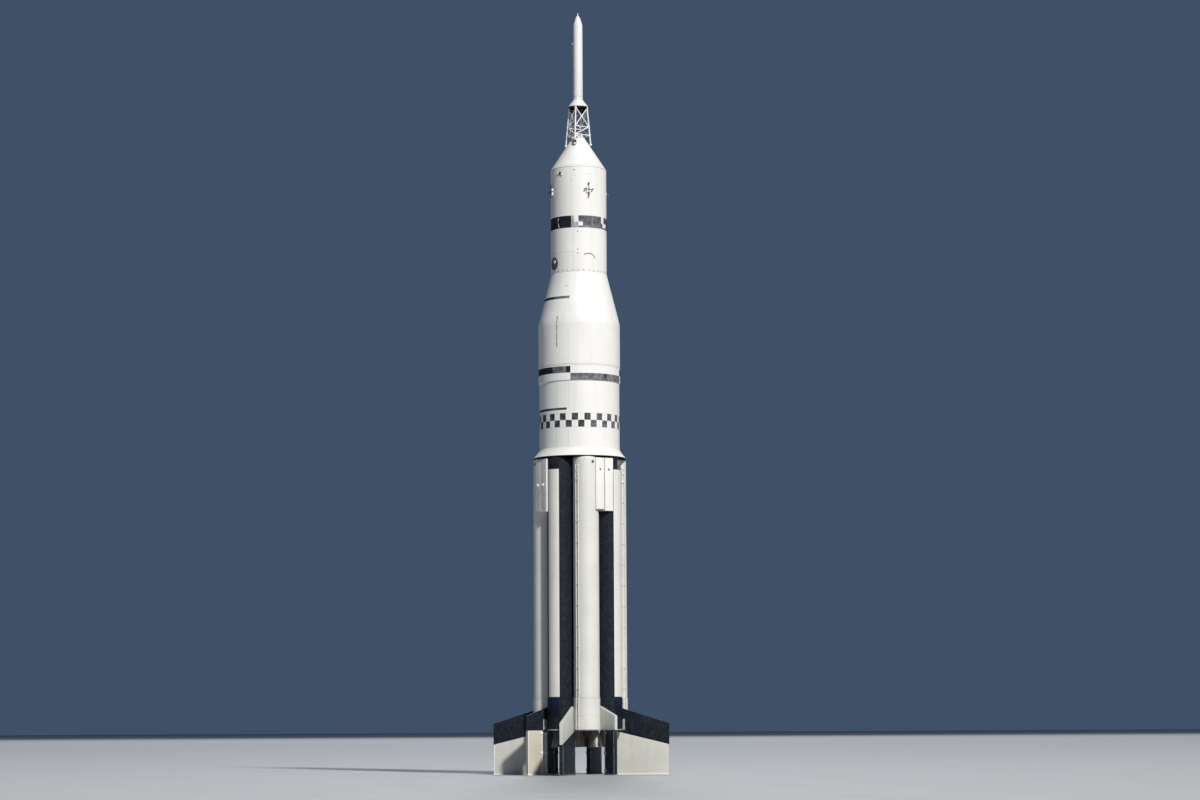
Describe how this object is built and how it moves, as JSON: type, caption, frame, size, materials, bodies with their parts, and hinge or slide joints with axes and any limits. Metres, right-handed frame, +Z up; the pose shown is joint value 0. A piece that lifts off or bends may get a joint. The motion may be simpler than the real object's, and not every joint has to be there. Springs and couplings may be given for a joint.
{
  "type": "space rocket, 1:10 scale display model",
  "caption": "Upright display rocket at one-tenth scale: clustered-tank first stage with fins and gimballed engines, second stage, payload and escape tower.",
  "frame": {"origin": "centre of the footprint of the support plates, on the floor", "axes": "+Z up along the rocket's axis, -Y towards the first large fin, +X towards the second"},
  "size_m": [1.24, 1.24, 5.359],
  "materials": {
    "white_paint": "weathered satin",
    "black_paint": "weathered satin",
    "support_paint": "weathered matte",
    "tower_paint": "satin",
    "engine_metal": "dark satin",
    "frame_steel": "satin"
  },
  "bodies": {
    "root": {"tail_skirt": "black_paint", "large_fin_1": "white_paint", "large_fin_2": "black_paint", "large_fin_3": "white_paint", "large_fin_4": "black_paint", "large_support_1": "black_paint", "large_support_2": "support_paint", "large_support_3": "black_paint", "large_support_4": "support_paint", "stub_fin_1": "white_paint", "stub_fin_2": "black_paint", "stub_fin_3": "white_paint", "stub_fin_4": "black_paint", "stub_support_1": "black_paint", "stub_support_2": "support_paint", "stub_support_3": "black_paint", "stub_support_4": "support_paint", "tank_1": "white_paint", "tank_2": "black_paint", "tank_3": "white_paint", "tank_4": "black_paint", "tank_5": "white_paint", "tank_6": "black_paint", "tank_7": "white_paint", "tank_8": "black_paint", "centre_tank": "white_paint", "spider_beam": "black_paint", "valley_fairing_1": "white_paint", "valley_fairing_2": "white_paint", "valley_fairing_3": "white_paint", "valley_fairing_4": "white_paint", "stage_flare": "white_paint", "second_stage": "white_paint", "second_stage_skirt": "white_paint", "payload_cone": "white_paint", "payload_adapter": "white_paint", "service_module": "white_paint", "capsule": "white_paint", "escape_tower": "tower_paint", "escape_motor_skirt": "tower_paint", "escape_motor": "tower_paint", "nose_cone": "tower_paint", "thrust_frame": "frame_steel", "heat_shield": "frame_steel", "inboard_engine_1": "engine_metal", "inboard_engine_2": "engine_metal", "inboard_engine_3": "engine_metal", "inboard_engine_4": "engine_metal"},
    "gimbal_1": {"gimbal_cross_1": "frame_steel"},
    "gimbal_2": {"gimbal_cross_2": "frame_steel"},
    "gimbal_3": {"gimbal_cross_3": "frame_steel"},
    "gimbal_4": {"gimbal_cross_4": "frame_steel"},
    "engine_1": {"outboard_engine_1": "engine_metal"},
    "engine_2": {"outboard_engine_2": "engine_metal"},
    "engine_3": {"outboard_engine_3": "engine_metal"},
    "engine_4": {"outboard_engine_4": "engine_metal"}
  },
  "joints": [
    {"name": "engine_1_pitch", "type": "hinge", "parent": "root", "child": "gimbal_1", "pos_m": [0.13081, -0.13081, 0.394], "axis": [0.7071, 0.7071, 0], "range_deg": [-8, 8]},
    {"name": "engine_1_yaw", "type": "hinge", "parent": "gimbal_1", "child": "engine_1", "pos_m": [0.13081, -0.13081, 0.394], "axis": [0.7071, -0.7071, 0], "range_deg": [-8, 8]},
    {"name": "engine_2_pitch", "type": "hinge", "parent": "root", "child": "gimbal_2", "pos_m": [0.13081, 0.13081, 0.394], "axis": [-0.7071, 0.7071, 0], "range_deg": [-8, 8]},
    {"name": "engine_2_yaw", "type": "hinge", "parent": "gimbal_2", "child": "engine_2", "pos_m": [0.13081, 0.13081, 0.394], "axis": [0.7071, 0.7071, 0], "range_deg": [-8, 8]},
    {"name": "engine_3_pitch", "type": "hinge", "parent": "root", "child": "gimbal_3", "pos_m": [-0.13081, 0.13081, 0.394], "axis": [-0.7071, -0.7071, 0], "range_deg": [-8, 8]},
    {"name": "engine_3_yaw", "type": "hinge", "parent": "gimbal_3", "child": "engine_3", "pos_m": [-0.13081, 0.13081, 0.394], "axis": [-0.7071, 0.7071, 0], "range_deg": [-8, 8]},
    {"name": "engine_4_pitch", "type": "hinge", "parent": "root", "child": "gimbal_4", "pos_m": [-0.13081, -0.13081, 0.394], "axis": [0.7071, -0.7071, 0], "range_deg": [-8, 8]},
    {"name": "engine_4_yaw", "type": "hinge", "parent": "gimbal_4", "child": "engine_4", "pos_m": [-0.13081, -0.13081, 0.394], "axis": [-0.7071, -0.7071, 0], "range_deg": [-8, 8]}
  ]
}
